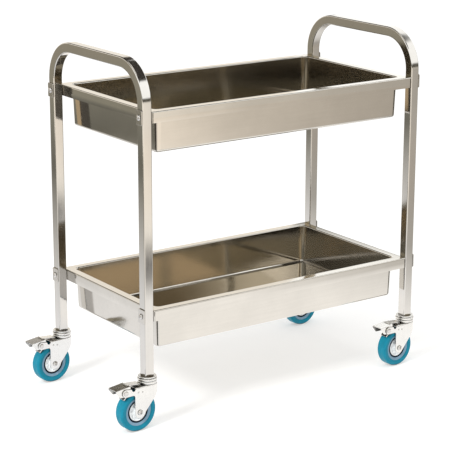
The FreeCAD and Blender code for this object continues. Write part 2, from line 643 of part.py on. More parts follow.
def brake_shoe():
    """Pad that follows the tyre's curve, on a web under the pedal."""
    centre = vec(TRAIL, 0, WHEEL_RADIUS)
    inner = WHEEL_RADIUS + SHOE_CLEARANCE
    outer = inner + SHOE_THICKNESS

    def on(radius, angle):
        turn = math.radians(angle)
        return centre + vec(radius * math.cos(turn), 0, radius * math.sin(turn))

    middle = (SHOE_START_ANGLE + SHOE_END_ANGLE) / 2
    edges = [
        Part.Arc(on(inner, SHOE_START_ANGLE), on(inner, middle), on(inner, SHOE_END_ANGLE)).toShape(),
        Part.makeLine(on(inner, SHOE_END_ANGLE), on(outer, SHOE_END_ANGLE)),
        Part.Arc(on(outer, SHOE_END_ANGLE), on(outer, middle), on(outer, SHOE_START_ANGLE)).toShape(),
        Part.makeLine(on(outer, SHOE_START_ANGLE), on(inner, SHOE_START_ANGLE))]
    pad = Part.Face(Part.Wire(edges)).extrude(Y_AXIS * (2 * SHOE_HALF_WIDTH))
    pad.translate(vec(0, -SHOE_HALF_WIDTH, 0))
    web_rear, web_front = SHOE_WEB
    heel_x, heel_z = PEDAL_HEEL
    toe_x, toe_z = PEDAL_TOE
    slope = (toe_z - heel_z) / (toe_x - heel_x)

    def pad_height(forward):
        return WHEEL_RADIUS + math.sqrt(((inner + outer) / 2) ** 2 - (forward - TRAIL) ** 2)

    web = [
        side_point(web_rear, pad_height(web_rear)), side_point(web_front, pad_height(web_front)),
        side_point(web_front, heel_z + slope * (web_front - heel_x) - PEDAL_SHEET),
        side_point(web_rear, heel_z + slope * (web_rear - heel_x) - PEDAL_SHEET)]
    stalk = Part.Face(closed_wire(web)).extrude(Y_AXIS * (2 * SHOE_HALF_WIDTH))
    stalk.translate(vec(0, -SHOE_HALF_WIDTH, 0))
    return pad.fuse(stalk).removeSplitter()


# ---- Assembly ------------------------------------------------------------------------------------
def group(solids):
    return Part.makeCompound(list(solids))


def at_legs(solids):
    """Copies of the same solids under all four legs."""
    copies = []
    for _, end, side, _ in CASTORS:
        for solid in solids:
            copy = solid.copy()
            copy.translate(vec(end * LEG_X, side * LEG_Y, 0))
            copies.append(copy)
    return group(copies)


def root_nodes():
    places = list(joint_places())
    return {
        "end_frame_left": end_frame(-1),
        "end_frame_right": end_frame(1),
        "upper_tray": tray(UPPER_RIM),
        "lower_tray": tray(LOWER_RIM),
        "joint_plates": group(joint_plate(*place) for place in places),
        "joint_bolts": group(joint_bolt(*place) for place in places),
        "joint_washers": group(joint_washer(*place) for place in places),
        "joint_nuts": group(joint_nut(*place) for place in places),
        "leg_inserts": at_legs([leg_insert()]),
        "castor_stems": at_legs([castor_stem()]),
        "swivel_balls": at_legs(swivel_balls()),
    }


def castor_nodes():
    return {
        "fork": fork(),
        "fork_rivets": group(fork_rivets()),
        "axle_bolt": axle_bolt(),
        "axle_nut": axle_nut(),
        "axle_bush": axle_bush(),
        "wheel_centre": wheel_centre(),
        "seal_rings": group(seal_rings()),
        "rim_band": rim_band(),
        "tyre": tyre(),
        "pedal": brake_pedal(),
        "release_tab": release_tab(),
        "brake_shoe": brake_shoe(),
    }


def all_nodes():
    nodes = root_nodes()
    pieces = castor_nodes()
    for name, end, side, heading in CASTORS:
        for piece, shape in pieces.items():
            placed = shape.copy()
            placed.rotate(vec(0, 0, 0), Z_AXIS, heading)
            placed.translate(vec(end * LEG_X, side * LEG_Y, 0))
            nodes[piece + "_" + name] = placed
    return nodes


def centred(nodes):
    """Move everything so that the middle of the overall outline stands on the origin."""
    whole = group(nodes.values()).optimalBoundingBox(False, False)
    shift = vec(-whole.Center.x, -whole.Center.y, -whole.ZMin)
    for shape in nodes.values():
        shape.translate(shift)
    return nodes


os.makedirs("parts", exist_ok=True)
for node, shape in centred(all_nodes()).items():
    shape.exportStep("parts/" + node + ".step")
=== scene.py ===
import json
import math

import bmesh
import bpy
from mathutils import Matrix, Vector


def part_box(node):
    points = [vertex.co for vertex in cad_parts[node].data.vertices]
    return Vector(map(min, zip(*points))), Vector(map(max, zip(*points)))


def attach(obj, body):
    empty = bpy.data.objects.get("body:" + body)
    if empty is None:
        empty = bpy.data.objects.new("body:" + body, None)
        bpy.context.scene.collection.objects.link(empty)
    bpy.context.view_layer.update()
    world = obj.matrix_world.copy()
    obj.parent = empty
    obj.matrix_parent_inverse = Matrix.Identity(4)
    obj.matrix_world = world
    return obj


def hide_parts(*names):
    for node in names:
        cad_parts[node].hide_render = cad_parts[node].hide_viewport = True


# Looks for the two-tray trolley: finished surfaces, studio and camera, in the row frame.
# Places are metres. Outlines, profiles and the shape constants are millimetres.

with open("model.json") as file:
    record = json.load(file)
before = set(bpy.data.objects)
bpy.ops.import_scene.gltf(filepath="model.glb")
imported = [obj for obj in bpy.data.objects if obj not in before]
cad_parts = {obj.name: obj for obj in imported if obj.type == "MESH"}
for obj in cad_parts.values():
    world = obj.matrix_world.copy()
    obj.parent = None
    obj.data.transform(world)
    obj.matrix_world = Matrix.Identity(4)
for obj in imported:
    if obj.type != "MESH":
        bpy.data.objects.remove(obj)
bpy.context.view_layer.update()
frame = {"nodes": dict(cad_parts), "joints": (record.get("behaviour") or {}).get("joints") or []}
SCENE = bpy.context.scene
MM = 0.001

# ---- Where things are, read from the frame -------------------------------------------------------
LEFT_LOW, LEFT_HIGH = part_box("end_frame_left")
RIGHT_LOW, RIGHT_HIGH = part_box("end_frame_right")
CENTRE_X = (LEFT_LOW.x + RIGHT_HIGH.x) / 2
CENTRE_Y = (LEFT_LOW.y + LEFT_HIGH.y) / 2
HALF_WIDTH = (LEFT_HIGH.y - LEFT_LOW.y) / 2
TUBE = LEFT_HIGH.x - LEFT_LOW.x
LEG_END = LEFT_LOW.z
HANDLE_TOP = LEFT_HIGH.z
JOINTS = {joint["name"]: joint for joint in frame["joints"]}
CASTORS = ("front_left", "back_left", "front_right", "back_right")

# ---- Materials -----------------------------------------------------------------------------------
BLACK = (0.0, 0.0, 0.0)
WHITE = (1.0, 1.0, 1.0)
# Near-black colour of the painted shade in narrow gaps.
PAINTED_GAP_SHADE = (0.03, 0.03, 0.03)
EVEN = (1.0, 1.0, 1.0)

# Noise patterns: cells per metre, detail, roughness.
GRAIN_LINES = (900.0, 6.0, 0.7)
FINE_LINES = (160.0, 3.0, 0.5)
SMUDGES = (9.0, 5.0, 0.6)
SWELL = (5.0, 1.0, 0.3)
MOTTLE = (60.0, 5.0, 0.6)
DIRT_PATCHES = (22.0, 6.0, 0.7)
PAPER_GRAIN = (3.0, 4.0, 0.55)


class Shader:
    """Small helper that builds one node tree."""

    def __init__(self, owner, output="ShaderNodeOutputMaterial", place="Object"):
        self.owner = owner
        owner.use_nodes = True
        self.tree = owner.node_tree
        self.tree.nodes.clear()
        self.surface = self.add(output).inputs["Surface"]
        self.place = self.add("ShaderNodeTexCoord").outputs[place]

    def add(self, kind, **settings):
        node = self.tree.nodes.new(kind)
        for key, value in settings.items():
            setattr(node, key, value)
        return node

    def link(self, source, target):
        self.tree.links.new(source, target)

    def fill(self, socket, value):
        """Sets a socket to a number or a colour, or links it."""
        if isinstance(value, (int, float)):
            socket.default_value = value
        elif isinstance(value, tuple):
            socket.default_value = (*value, 1.0)
        else:
            self.link(value, socket)

    def noise(self, scale, detail, roughness, stretch=EVEN):
        mapping = self.add("ShaderNodeMapping")
        mapping.inputs["Scale"].default_value = stretch
        self.link(self.place, mapping.inputs["Vector"])
        node = self.add("ShaderNodeTexNoise")
        node.inputs["Scale"].default_value = scale
        node.inputs["Detail"].default_value = detail
        node.inputs["Roughness"].default_value = roughness
        self.link(mapping.outputs["Vector"], node.inputs["Vector"])
        return node.outputs["Fac"]

    def remap(self, value, low, high, to_low=0.0, to_high=1.0):
        node = self.add("ShaderNodeMapRange")
        node.inputs["From Min"].default_value = low
        node.inputs["From Max"].default_value = high
        node.inputs["To Min"].default_value = to_low
        node.inputs["To Max"].default_value = to_high
        self.link(value, node.inputs["Value"])
        return node.outputs["Result"]

    def maths(self, operation, a, b=0.0):
        node = self.add("ShaderNodeMath", operation=operation)
        self.fill(node.inputs[0], a)
        self.fill(node.inputs[1], b)
        return node.outputs[0]

    def mix(self, factor, a, b, blend="MIX"):
        node = self.add("ShaderNodeMix", data_type="RGBA", blend_type=blend)
        self.fill(node.inputs[0], factor)
        self.fill(node.inputs[6], a)
        self.fill(node.inputs[7], b)
        return node.outputs[2]

    def brightness(self, colour, factor):
        return self.mix(1.0, colour, factor, "MULTIPLY")

    def ramp(self, value, stops):
        """Colour from (position, colour or grey level) stops."""
        node = self.add("ShaderNodeValToRGB")
        self.link(value, node.inputs["Fac"])
        elements = node.color_ramp.elements
        while len(elements) < len(stops):
            elements.new(0.5)
        for element, (position, colour) in zip(elements, stops):
            element.position = position
            element.color = (*(colour if isinstance(colour, tuple) else (colour,) * 3), 1.0)
        return node.outputs["Color"]

    def bump(self, height, strength, depth, normal=None):
        node = self.add("ShaderNodeBump")
        node.inputs["Strength"].default_value = strength
        node.inputs["Distance"].default_value = depth
        self.link(height, node.inputs["Height"])
        if normal is not None:
            self.link(normal, node.inputs["Normal"])
        return node.outputs["Normal"]

    def painted_gap_shade(self, tone, reach):
        """Painted shade: darkens a colour inside narrow gaps, where shade falls, as far as reach in metres.
        """
        node = self.add("ShaderNodeAmbientOcclusion", samples=8)
        node.inputs["Distance"].default_value = reach
        return self.mix(self.remap(node.outputs["AO"], 0.22, 0.58, 1.0, 0.0), tone, PAINTED_GAP_SHADE)

    def principled(self, colour, roughness, normal, metallic, shine):
        node = self.add("ShaderNodeBsdfPrincipled")
        node.inputs["Metallic"].default_value = metallic
        node.inputs["Specular IOR Level"].default_value = shine
        self.link(colour, node.inputs["Base Color"])
        self.link(roughness, node.inputs["Roughness"])
        self.link(normal, node.inputs["Normal"])
        self.link(node.outputs["BSDF"], self.surface)
        return self.owner

    def glow(self, colour, strength=1.0, kind="ShaderNodeEmission"):
        """Plain light of one colour."""
        node = self.add(kind)
        self.fill(node.inputs["Color"], colour)
        node.inputs["Strength"].default_value = strength
        return node.outputs[0]

    def either(self, factor, a, b):
        """Shader a where the factor is 0, b where it is 1."""
        node = self.add("ShaderNodeMixShader")
        self.link(factor, node.inputs["Fac"])
        self.link(a, node.inputs[1])
        self.link(b, node.inputs[2])
        return node.outputs["Shader"]

    def ray(self, output):
        return self.add("ShaderNodeLightPath").outputs[output]

    def coordinates(self):
        split = self.add("ShaderNodeSeparateXYZ")
        self.link(self.place, split.inputs["Vector"])
        return [split.outputs[axis] for axis in "XYZ"]

    def distance(self, x, y, centre_x, centre_y):
        dx, dy = self.maths("SUBTRACT", x, centre_x), self.maths("SUBTRACT", y, centre_y)
        squares = self.maths("ADD", self.maths("MULTIPLY", dx, dx), self.maths("MULTIPLY", dy, dy))
        return self.maths("SQRT", squares)


def scaled(colour, factor):
    return tuple(min(1.0, channel * factor) for channel in colour)


def steel(name, colour, roughness, grain, waviness=0.0, shade_reach=0.0):
    """Stainless steel with a rolled or polished grain, soft smudges and a slight waviness.

    The last argument is how far, in metres, painted shade darkens the metal out of narrow gaps, where shade
    falls.
    """
    sh = Shader(bpy.data.materials.new(name))
    lines = sh.noise(*GRAIN_LINES, grain)
    smudge = sh.noise(*SMUDGES)
    fine = sh.noise(*FINE_LINES, grain)
    tone = sh.mix(sh.remap(smudge, 0.35, 0.7), scaled(colour, 0.93), colour)
    tone = sh.mix(sh.remap(fine, 0.3, 0.7, 0.0, 0.12), tone, scaled(colour, 0.72))
    # Painted shade: darkens the metal in narrow gaps and hollows, where shade falls.
    if shade_reach:
        tone = sh.painted_gap_shade(tone, shade_reach)
    rough = sh.maths("ADD", sh.remap(smudge, 0.3, 0.75, roughness * 0.75, roughness * 1.35),
                     sh.remap(lines, 0.3, 0.7, -0.02, 0.03))
    normal = sh.bump(lines, strength=0.05, depth=0.0002)
    if waviness:
        normal = sh.bump(sh.noise(*SWELL), waviness, 0.01, normal)
    return sh.principled(tone, rough, normal, metallic=1.0, shine=0.5)


def moulded(name, colour, roughness, speckle=0.08, grain=420.0, depth=0.0001, dirt=(0.10, 0.09, 0.08),
            dirt_amount=0.12, shine=0.3, shade_reach=0.0):
    """Moulded plastic or rubber with a fine skin, mottling, a little dirt and, where the last argument is
    set, painted shade in narrow gaps.
    """
    sh = Shader(bpy.data.materials.new(name))
    mottle = sh.noise(*MOTTLE)
    skin = sh.noise(grain, 3.0, 0.6)
    patch = sh.noise(*DIRT_PATCHES)
    tone = sh.mix(sh.remap(mottle, 0.3, 0.7), scaled(colour, 1 - speckle), scaled(colour, 1 + speckle))
    tone = sh.mix(sh.remap(patch, 0.55, 0.8, 0.0, dirt_amount), tone, dirt)
    rough = sh.remap(mottle, 0.3, 0.7, roughness * 0.85, roughness * 1.15)
    # Painted shade: darkens the plastic in narrow gaps, where shade falls.
    if shade_reach:
        tone = sh.painted_gap_shade(tone, shade_reach)
    return sh.principled(tone, rough, sh.bump(skin, 0.25, depth), metallic=0.0, shine=shine)


UPRIGHT_GRAIN = (1.0, 1.0, 0.03)
LENGTHWISE_GRAIN = (0.04, 1.0, 1.0)
TUBE_STEEL = steel("tube_steel", (0.76, 0.745, 0.72), 0.10, UPRIGHT_GRAIN, 0.03)
TRAY_STEEL = steel("tray_steel", (0.77, 0.745, 0.70), 0.085, LENGTHWISE_GRAIN, 0.05)
PLATE_STEEL = steel("plate_steel", (0.74, 0.72, 0.69), 0.22, (1.0, 1.0, 0.1))
FASTENER_STEEL = steel("fastener_steel", (0.76, 0.75, 0.74), 0.14, EVEN)
INSERT_STEEL = steel("insert_steel", (0.34, 0.33, 0.32), 0.35, EVEN)
ZINC, ZINC_GRAIN = (0.90, 0.90, 0.89), (1.0, 1.0, 0.3)
# Castor and pedal steel get painted shade: near-black in the gaps of the fork, stem and brake tab, and in the
# pedal's open toe.
CASTOR_STEEL = steel("castor_steel", ZINC, 0.24, ZINC_GRAIN, 0.03, shade_reach=0.009)
PEDAL_STEEL = steel("pedal_steel", ZINC, 0.24, ZINC_GRAIN, 0.03, shade_reach=0.05)
# The tyre gets painted shade where the fork and the brake arm shade it.
TYRE_BLUE = moulded("tyre_blue", (0.008, 0.215, 0.315), 0.42, speckle=0.12, grain=500.0, depth=0.0002,
                    dirt=(0.03, 0.17, 0.22), dirt_amount=0.2, shine=0.15, shade_reach=0.012)
RIM_GREY = moulded("rim_grey", (0.20, 0.33, 0.44), 0.45)
# Seal rings: their own dark navy, made darker still as painted shade for the shade that falls on them between
# the wheel centre and the tyre.
SEAL_DARK_AND_SHADE = moulded("seal_black", (0.004, 0.010, 0.022), 0.5, shine=0.1)
WHEEL_WHITE = moulded("wheel_white", (0.93, 0.95, 0.96), 0.38, speckle=0.03)


# ---- Mesh helpers --------------------------------------------------------------------------------
CORNERS = ((1, 1, 0), (-1, 1, 90), (-1, -1, 180), (1, -1, 270))
BEVEL_ANGLE = math.radians(35.0)
QUARTER_TURN = math.radians(90)


def arc(centre_a, centre_b, radius, start, end, steps):
    """Points along a round corner, angles in degrees."""
    points = []
    for step in range(steps + 1):
        angle = math.radians(start + (end - start) * step / steps)
        points.append((centre_a + radius * math.cos(angle), centre_b + radius * math.sin(angle)))
    return points


def rounded_rectangle(half_a, half_b, corner, steps):
    """One arc of points for each corner, with the signs and start angle of that corner."""
    for sign_a, sign_b, start in CORNERS:
        centre = (sign_a * (half_a - corner), sign_b * (half_b - corner))
        yield sign_a, sign_b, start, arc(*centre, corner, start, start + 90, steps)


def make_mesh(name, vertices, faces, placement=None):
    mesh = bpy.data.meshes.new(name)
    mesh.from_pydata([tuple(v) for v in vertices], [], faces)
    if placement is not None:
        mesh.transform(placement)
    mesh.validate()
    return mesh


def joined(name, meshes):
    """One mesh from several."""
    whole = bmesh.new()
    for mesh in meshes:
        whole.from_mesh(mesh)
        bpy.data.meshes.remove(mesh)
    out = bpy.data.meshes.new(name)
    whole.to_mesh(out)
    whole.free()
    return out


def tidy(mesh):
    """Merges doubled points and turns every face outwards."""
    shape = bmesh.new()
    shape.from_mesh(mesh)
    bmesh.ops.remove_doubles(shape, verts=shape.verts, dist=1e-6)
    bmesh.ops.recalc_face_normals(shape, faces=shape.faces)
    shape.to_mesh(mesh)
    shape.free()
    return mesh


def band(low_start, high_start, count, skipped=()):
    """Faces between two closed loops of points, given where each loop starts."""
    return [(low_start + index, low_start + (index + 1) % count,
             high_start + (index + 1) % count, high_start + index)
            for index in range(count) if index not in skipped]


def lathe(name, profile, steps, axis, placement):
    """Mesh turned about a local axis from a closed profile of (radius, station)."""
    vertices, faces = [], []
    count = len(profile)
    for step in range(steps):
        angle = 2 * math.pi * step / steps
        c, s = math.cos(angle), math.sin(angle)
        for radius, station in profile:
            point = (radius * c, radius * s, station) if axis == "Z" else (radius * c, station, radius * s)
            vertices.append(Vector(point) * MM)
    for step in range(steps):
        following = (step + 1) % steps
        for index in range(count):
            after = (index + 1) % count
            faces.append((step * count + index, following * count + index,
                          following * count + after, step * count + after))
    return tidy(make_mesh(name, vertices, faces, placement))


def plate(name, outline, low, high, placement):
    """Mesh of a flat outline in local X and Z, spanning low to high along Y."""
    count = len(outline)
    vertices = [Vector((x, y, z)) * MM for y in (low, high) for x, z in outline]
    faces = [tuple(range(count)), tuple(reversed(range(count, 2 * count)))]
    for index in range(count):
        after = (index + 1) % count
        faces.append((index, index + count, after + count, after))
    return tidy(make_mesh(name, vertices, faces, placement))


def add_piece(name, mesh, material, body, nodes, bevel=0.0, thickness=0.0):
    """Puts a finished piece in the scene in place of its CAD nodes."""
    mesh.materials.clear()
    mesh.materials.append(material)
    mesh.shade_smooth()
    piece = bpy.data.objects.new(name, mesh)
    SCENE.collection.objects.link(piece)
    if thickness:
        shell = piece.modifiers.new("thickness", "SOLIDIFY")
        shell.thickness = thickness * MM
        shell.offset = -1.0
        shell.use_even_offset = True
    if bevel:
        edge = piece.modifiers.new("edges", "BEVEL")
        edge.width = bevel * MM
        edge.segments = 3
        edge.limit_method = "ANGLE"
        edge.angle_limit = BEVEL_ANGLE
        edge.harden_normals = True
    weigh = piece.modifiers.new("normals", "WEIGHTED_NORMAL")
    weigh.keep_sharp = True
    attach(piece, body)
    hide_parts(*nodes)


# ---- End frames ----------------------------------------------------------------------------------
BEND_RADIUS = 90.0 * MM
TUBE_CORNER = 3.0 * MM
TUBE_WALL = 1.5
LEG_STEPS, BEND_STEPS = 12, 24


def frame_path():
    """Stations up one leg, over the handle and down the other: (y, z, outward y, outward z)."""
    leg = HALF_WIDTH - TUBE / 2
    top = HANDLE_TOP - TUBE / 2
    bend_y, bend_z = leg - BEND_RADIUS, top - BEND_RADIUS
    stations = [(leg, LEG_END + (bend_z - LEG_END) * k / LEG_STEPS, 1.0, 0.0) for k in range(LEG_STEPS)]
    for step in range(BEND_STEPS + 1):
        angle = QUARTER_TURN * step / BEND_STEPS
        c, s = math.cos(angle), math.sin(angle)
        stations.append((bend_y + BEND_RADIUS * c, bend_z + BEND_RADIUS * s, c, s))
    mirrored = [(-y, z, -out_y, out_z) for y, z, out_y, out_z in reversed(stations)]
    return [(CENTRE_Y + y, z, out_y, out_z) for y, z, out_y, out_z in stations + mirrored]


def end_frame(side, low, high):
    """Bent square tube, swept along its path; each ring point is (across, outward)."""
    ring = [point for *_, turn in rounded_rectangle(TUBE / 2, TUBE / 2, TUBE_CORNER, 5) for point in turn]
    centre_x = (low.x + high.x) / 2
    vertices, faces = [], []
    path = frame_path()
    for y, z, out_y, out_z in path:
        for across, outward in ring:
            vertices.append(Vector((centre_x + across, y + outward * out_y, z + outward * out_z)))
    count = len(ring)
    for station in range(len(path) - 1):
        faces += band((station + 1) * count, station * count, count)
    name = "end_frame_look_" + side
    mesh = tidy(make_mesh(name, vertices, faces))
    add_piece(name, mesh, TUBE_STEEL, "trolley", ["end_frame_" + side], thickness=TUBE_WALL)


# ---- Trays, heights measured down from the rim ---------------------------------------------------
TRAY_SHEET = 1.2
SKIRT_CORNER = 1.6
SKIRT_ROWS = (-27.0, -14.0, -3.7)
SLOT_WIDTH = 2.6
EDGE_ROUND = 2.5
RIM_END, RIM_CORNER = 20.8, 12.2
BASIN_ROUND = 2.8
WALL_TAPER, WALL_DROP = 3.9, 95.2
WALL_CORNER, WALL_CORNER_LOSS = 15.0, 4.0
FLOOR_START, FLOOR_CORNER = 27.5, 11.0
FLOOR_ROUND = 6.0
FLOOR_DROP = 104.0


def tray_sections():
    """(inset, height, corner radius) from the skirt's foot to the floor; the first rows are slotted."""
    rows = [(0.0, height, SKIRT_CORNER) for height in (*SKIRT_ROWS, -EDGE_ROUND)]
    for k in range(1, 6):
        a = QUARTER_TURN * k / 5
        rows.append((EDGE_ROUND * (1 - math.cos(a)), EDGE_ROUND * (math.sin(a) - 1), SKIRT_CORNER))
    rows += [(8.0, 0.0, 4.0), (16.0, 0.0, 9.0)]
    for k in range(7):
        a = QUARTER_TURN * k / 6
        reach = BASIN_ROUND * math.sin(a)
        rows.append((RIM_END + reach, BASIN_ROUND * (math.cos(a) - 1), RIM_CORNER + reach))
    for share in (0.2, 0.4, 0.6, 0.8):
        rows.append((RIM_END + BASIN_ROUND + WALL_TAPER * share, -BASIN_ROUND - WALL_DROP * share,
                     WALL_CORNER - WALL_CORNER_LOSS * share))
    for k in range(7):
        a = QUARTER_TURN * k / 6
        reach = FLOOR_ROUND * (1 - math.cos(a))
        rows.append((FLOOR_START + reach, FLOOR_ROUND * (1 - math.sin(a)) - FLOOR_DROP, FLOOR_CORNER - reach))
    rows += [(inset, -FLOOR_DROP, 5.0) for inset in (48.0, 80.0, 120.0, 160.0, 195.0)]
    return rows


def tray_ring(half_x, half_y, corner):
    """Loop of points round a rounded rectangle; also marks the open slots beside the end skirts."""
    points, slots = [], []
    for sign_x, sign_y, start, turn in rounded_rectangle(half_x, half_y, corner, 8):
        near = (sign_x * (half_x - corner - SLOT_WIDTH), sign_y * half_y)
        if start in (90, 270):
            slots.append(len(points))
            points += [near] + turn
        else:
            points += turn + [near]
            slots.append(len(points) - 2)
    return points, slots


def tray(name):
    low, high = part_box(name)
    centre = Vector(((low.x + high.x) / 2, (low.y + high.y) / 2, high.z))
    half_x, half_y = (high.x - low.x) / 2 / MM, (high.y - low.y) / 2 / MM
    vertices, faces = [], []
    rows = tray_sections()
    for inset, height, corner in rows:
        ring, slots = tray_ring(half_x - inset, half_y - inset, corner)
        vertices += [centre + Vector((x, y, height)) * MM for x, y in ring]
    count = len(ring)
    for row in range(len(rows) - 1):
        faces += band(row * count, (row + 1) * count, count, slots if row < len(SKIRT_ROWS) else ())
    faces.append(tuple(range((len(rows) - 1) * count, len(rows) * count)))
    mesh = make_mesh(name + "_look", vertices, faces)
    add_piece(name + "_look", mesh, TRAY_STEEL, "trolley", [name], thickness=TRAY_SHEET)


# ---- Castors -------------------------------------------------------------------------------------
def castor_place(name):
    """Placement of a castor: its swivel axis on the floor, local X towards the axle."""
    swivel = JOINTS["swivel_" + name]["pos_m"]
    axis = JOINTS["wheel_spin_" + name]["axis"]
    heading = math.atan2(-axis[0], axis[1])
    return Matrix.Translation((swivel[0], swivel[1], 0.0)) @ Matrix.Rotation(heading, 4, "Z")


def local_point(name, joint):
    point = castor_place(name).inverted() @ Vector(JOINTS[joint + name]["pos_m"])
    return point.x / MM, point.z / MM


TRAIL, AXLE_HEIGHT = local_point("front_left", "wheel_spin_")
PIVOT_X, PIVOT_Z = local_point("front_left", "brake_pedal_")

# Wheel: radii of its layers and half widths.
WHEEL_RADIUS = AXLE_HEIGHT
TREAD_HALF, TREAD_ROUND = 14.7, 5.5
BAND_INNER, BAND_OUTER = 29.0, 36.0
SEAL_INNER = 24.6
RIBS, RIB_HALF_WIDTH = 8, 7.4

# Fork: X along the castor from the swivel axis, Z from the floor.
CHEEK_INNER, CHEEK_OUTER = 17.0, 19.5
CHEEK_EYE = 13.7
KNEE_X, KNEE_Z = -12.0, 84.0
FORK_REAR, FORK_REAR_TOP = -25.0, 101.0
ROUND_CENTRE = FORK_REAR + CHEEK_OUTER
CROWN_FRONT, CROWN_CORNER = 46.5, 2.0
CROWN_UNDER, CROWN_TOP = 111.0, 114.0
STEM_HOLE = 6.6
SMALL_RIVETS = ((39.0, 101.5), (27.0, 100.0))

# Brake: half widths of its pieces.
FLANGE_INNER, FLANGE_OUTER = 15.4, 16.8
TAB_HALF, SHOE_HALF = 10.5, 10.0
SHOE_GAP, SHOE_SHEET = 3.0, 2.5

# Fasteners: button head as (radius, height, socket radius), nut across flats.
BOLT_HEAD = (7.0, 4.4, 2.7)
NUT_FLATS = 13.0

# Facets of one turn.
FINEST, FINE, MIDDLE, PLAIN, COARSE = 120, 96, 48, 40, 32


def at_axle(place):
    return place @ Matrix.Translation((TRAIL * MM, 0, AXLE_HEIGHT * MM))


def turned(name, half, steps, place):
    """Part of the wheel, the same on both sides, from (radius, half station) pairs, bore edge first."""
    mirrored = [(radius, -station) for radius, station in reversed(half)]
    return lathe(name, half + mirrored, steps, "Y", at_axle(place))


def tyre_mesh(place):
    half = [(BAND_OUTER, 11.5), (BAND_OUTER, 12.9), (37.2, 13.4), (40.5, 14.1)]
    half += arc(WHEEL_RADIUS - TREAD_ROUND, TREAD_HALF - TREAD_ROUND, TREAD_ROUND, 90, 0, 9)
    half += [(WHEEL_RADIUS - 0.02, 4.0), (WHEEL_RADIUS - 0.02, 0.5), (WHEEL_RADIUS - 0.35, 0.25)]
    return turned("tyre_look", half, FINEST, place)


def rim_band_mesh(place):
    half = [(BAND_INNER, 8.0), (BAND_INNER, 10.0), (29.8, 10.9), (32.5, 11.6), (34.8, 12.4), (35.6, 12.5),
            (BAND_OUTER, 12.2), (BAND_OUTER, 8.0)]
    return turned("rim_band_look", half, FINE, place)


def seal_mesh(place):
    rings = []
    for side in (-1, 1):
        profile = [(SEAL_INNER, side * 7.0), (SEAL_INNER, side * 9.6), (25.1, side * 10.2),
                   (28.5, side * 10.2), (BAND_INNER, side * 9.7), (BAND_INNER, side * 7.0)]
        rings.append(lathe("seal_part", profile, FINE, "Y", at_axle(place)))
    return joined("seal_rings_look", rings)


def wheel_centre_mesh(place):
    hub = [(6.1, 4.0), (6.1, 15.4), (6.7, 16.0), (10.6, 16.0), (11.6, 15.0), (12.4, 6.5), (14.2, 4.7)]
    dish = [(19.5, 4.7), (21.4, 5.6), (22.0, 9.2), (22.8, 10.0), (24.0, 10.0)]
    rim = [(SEAL_INNER, 9.4), (SEAL_INNER, 7.1), (28.8, 7.0)]
    parts = [turned("wheel_part", hub + dish + rim, FINE, place)]
    rib = [(11.0, -1.1), (22.2, -0.8), (22.2, 0.8), (11.0, 1.1)]
    for index in range(RIBS):
        turn = at_axle(place) @ Matrix.Rotation(2 * math.pi * index / RIBS, 4, "Y")
        parts.append(plate("rib", rib, -RIB_HALF_WIDTH, RIB_HALF_WIDTH, turn))
    return joined("wheel_centre_look", parts)


def cheek_lean():
    """Direction of the cheek's slanting back edge, in degrees."""
    dx, dz = TRAIL - KNEE_X, AXLE_HEIGHT - KNEE_Z
    return math.degrees(math.atan2(dz, dx) - math.asin(CHEEK_EYE / math.hypot(dx, dz)))


def cheek_foot(x):
    """Height of the cheek's lower edge at a place along the castor."""
    if x > KNEE_X:
        return KNEE_Z + (x - KNEE_X) * math.tan(math.radians(cheek_lean()))
    return KNEE_Z + (KNEE_X - x) * (FORK_REAR_TOP - KNEE_Z) / (KNEE_X - FORK_REAR)


def cheek_outline():
    """Cheek and brake arm from the side, forward of the fork's rounded back."""
    outline = arc(TRAIL, AXLE_HEIGHT, CHEEK_EYE, cheek_lean() - 90, 0, 18)
    outline += arc(54.5, 90.5, 6.0, 180, 90, 5)
    outline += arc(PIVOT_X, PIVOT_Z, 9.5, -90, 92, 16)
    outline += [(60.5, 113.4)] + arc(59.6, 111.6, 1.6, 110, 170, 3)
    outline += arc(54.0, 109.0, 2.4, -10, -80, 4) + arc(51.0, 108.8, 2.3, -95, -170, 4)
    outline += [(47.0, 111.5), (44.0, CROWN_UNDER), (ROUND_CENTRE, CROWN_UNDER)]
    return outline + [(ROUND_CENTRE, cheek_foot(ROUND_CENTRE))]


def crown_loop(offset):
    """Plan of the crown: square in front, round behind."""
    half, front = CHEEK_OUTER - offset, CROWN_FRONT - offset
    back, side = front - CROWN_CORNER, half - CROWN_CORNER
    square = [(back, half), (front, side), (front, -side), (back, -half)]
    return square + arc(ROUND_CENTRE, 0, half, -90, -270, 24)


def crown_mesh(place):
    """Top of the fork with its bent edge and the hole for the stem."""
    edge = CROWN_TOP - CROWN_UNDER
    rings = [[(x, y, CROWN_UNDER) for x, y in crown_loop(0.0)]]
    for k in range(1, 6):
        a = QUARTER_TURN * k / 5
        loop = crown_loop(edge * (1 - math.cos(a)))
        rings.append([(x, y, CROWN_UNDER + edge * math.sin(a)) for x, y in loop])
    hole = [(STEM_HOLE * x / math.hypot(x, y), STEM_HOLE * y / math.hypot(x, y)) for x, y in crown_loop(0.0)]
    rings += [[(x, y, height) for x, y in hole] for height in (CROWN_TOP, CROWN_UNDER)]
    count = len(rings[0])
    vertices = [Vector(point) * MM for ring in rings for point in ring]
    faces = []
    for row in range(len(rings)):
        faces += band(row * count, (row + 1) % len(rings) * count, count)
    return tidy(make_mesh("crown", vertices, faces, place))


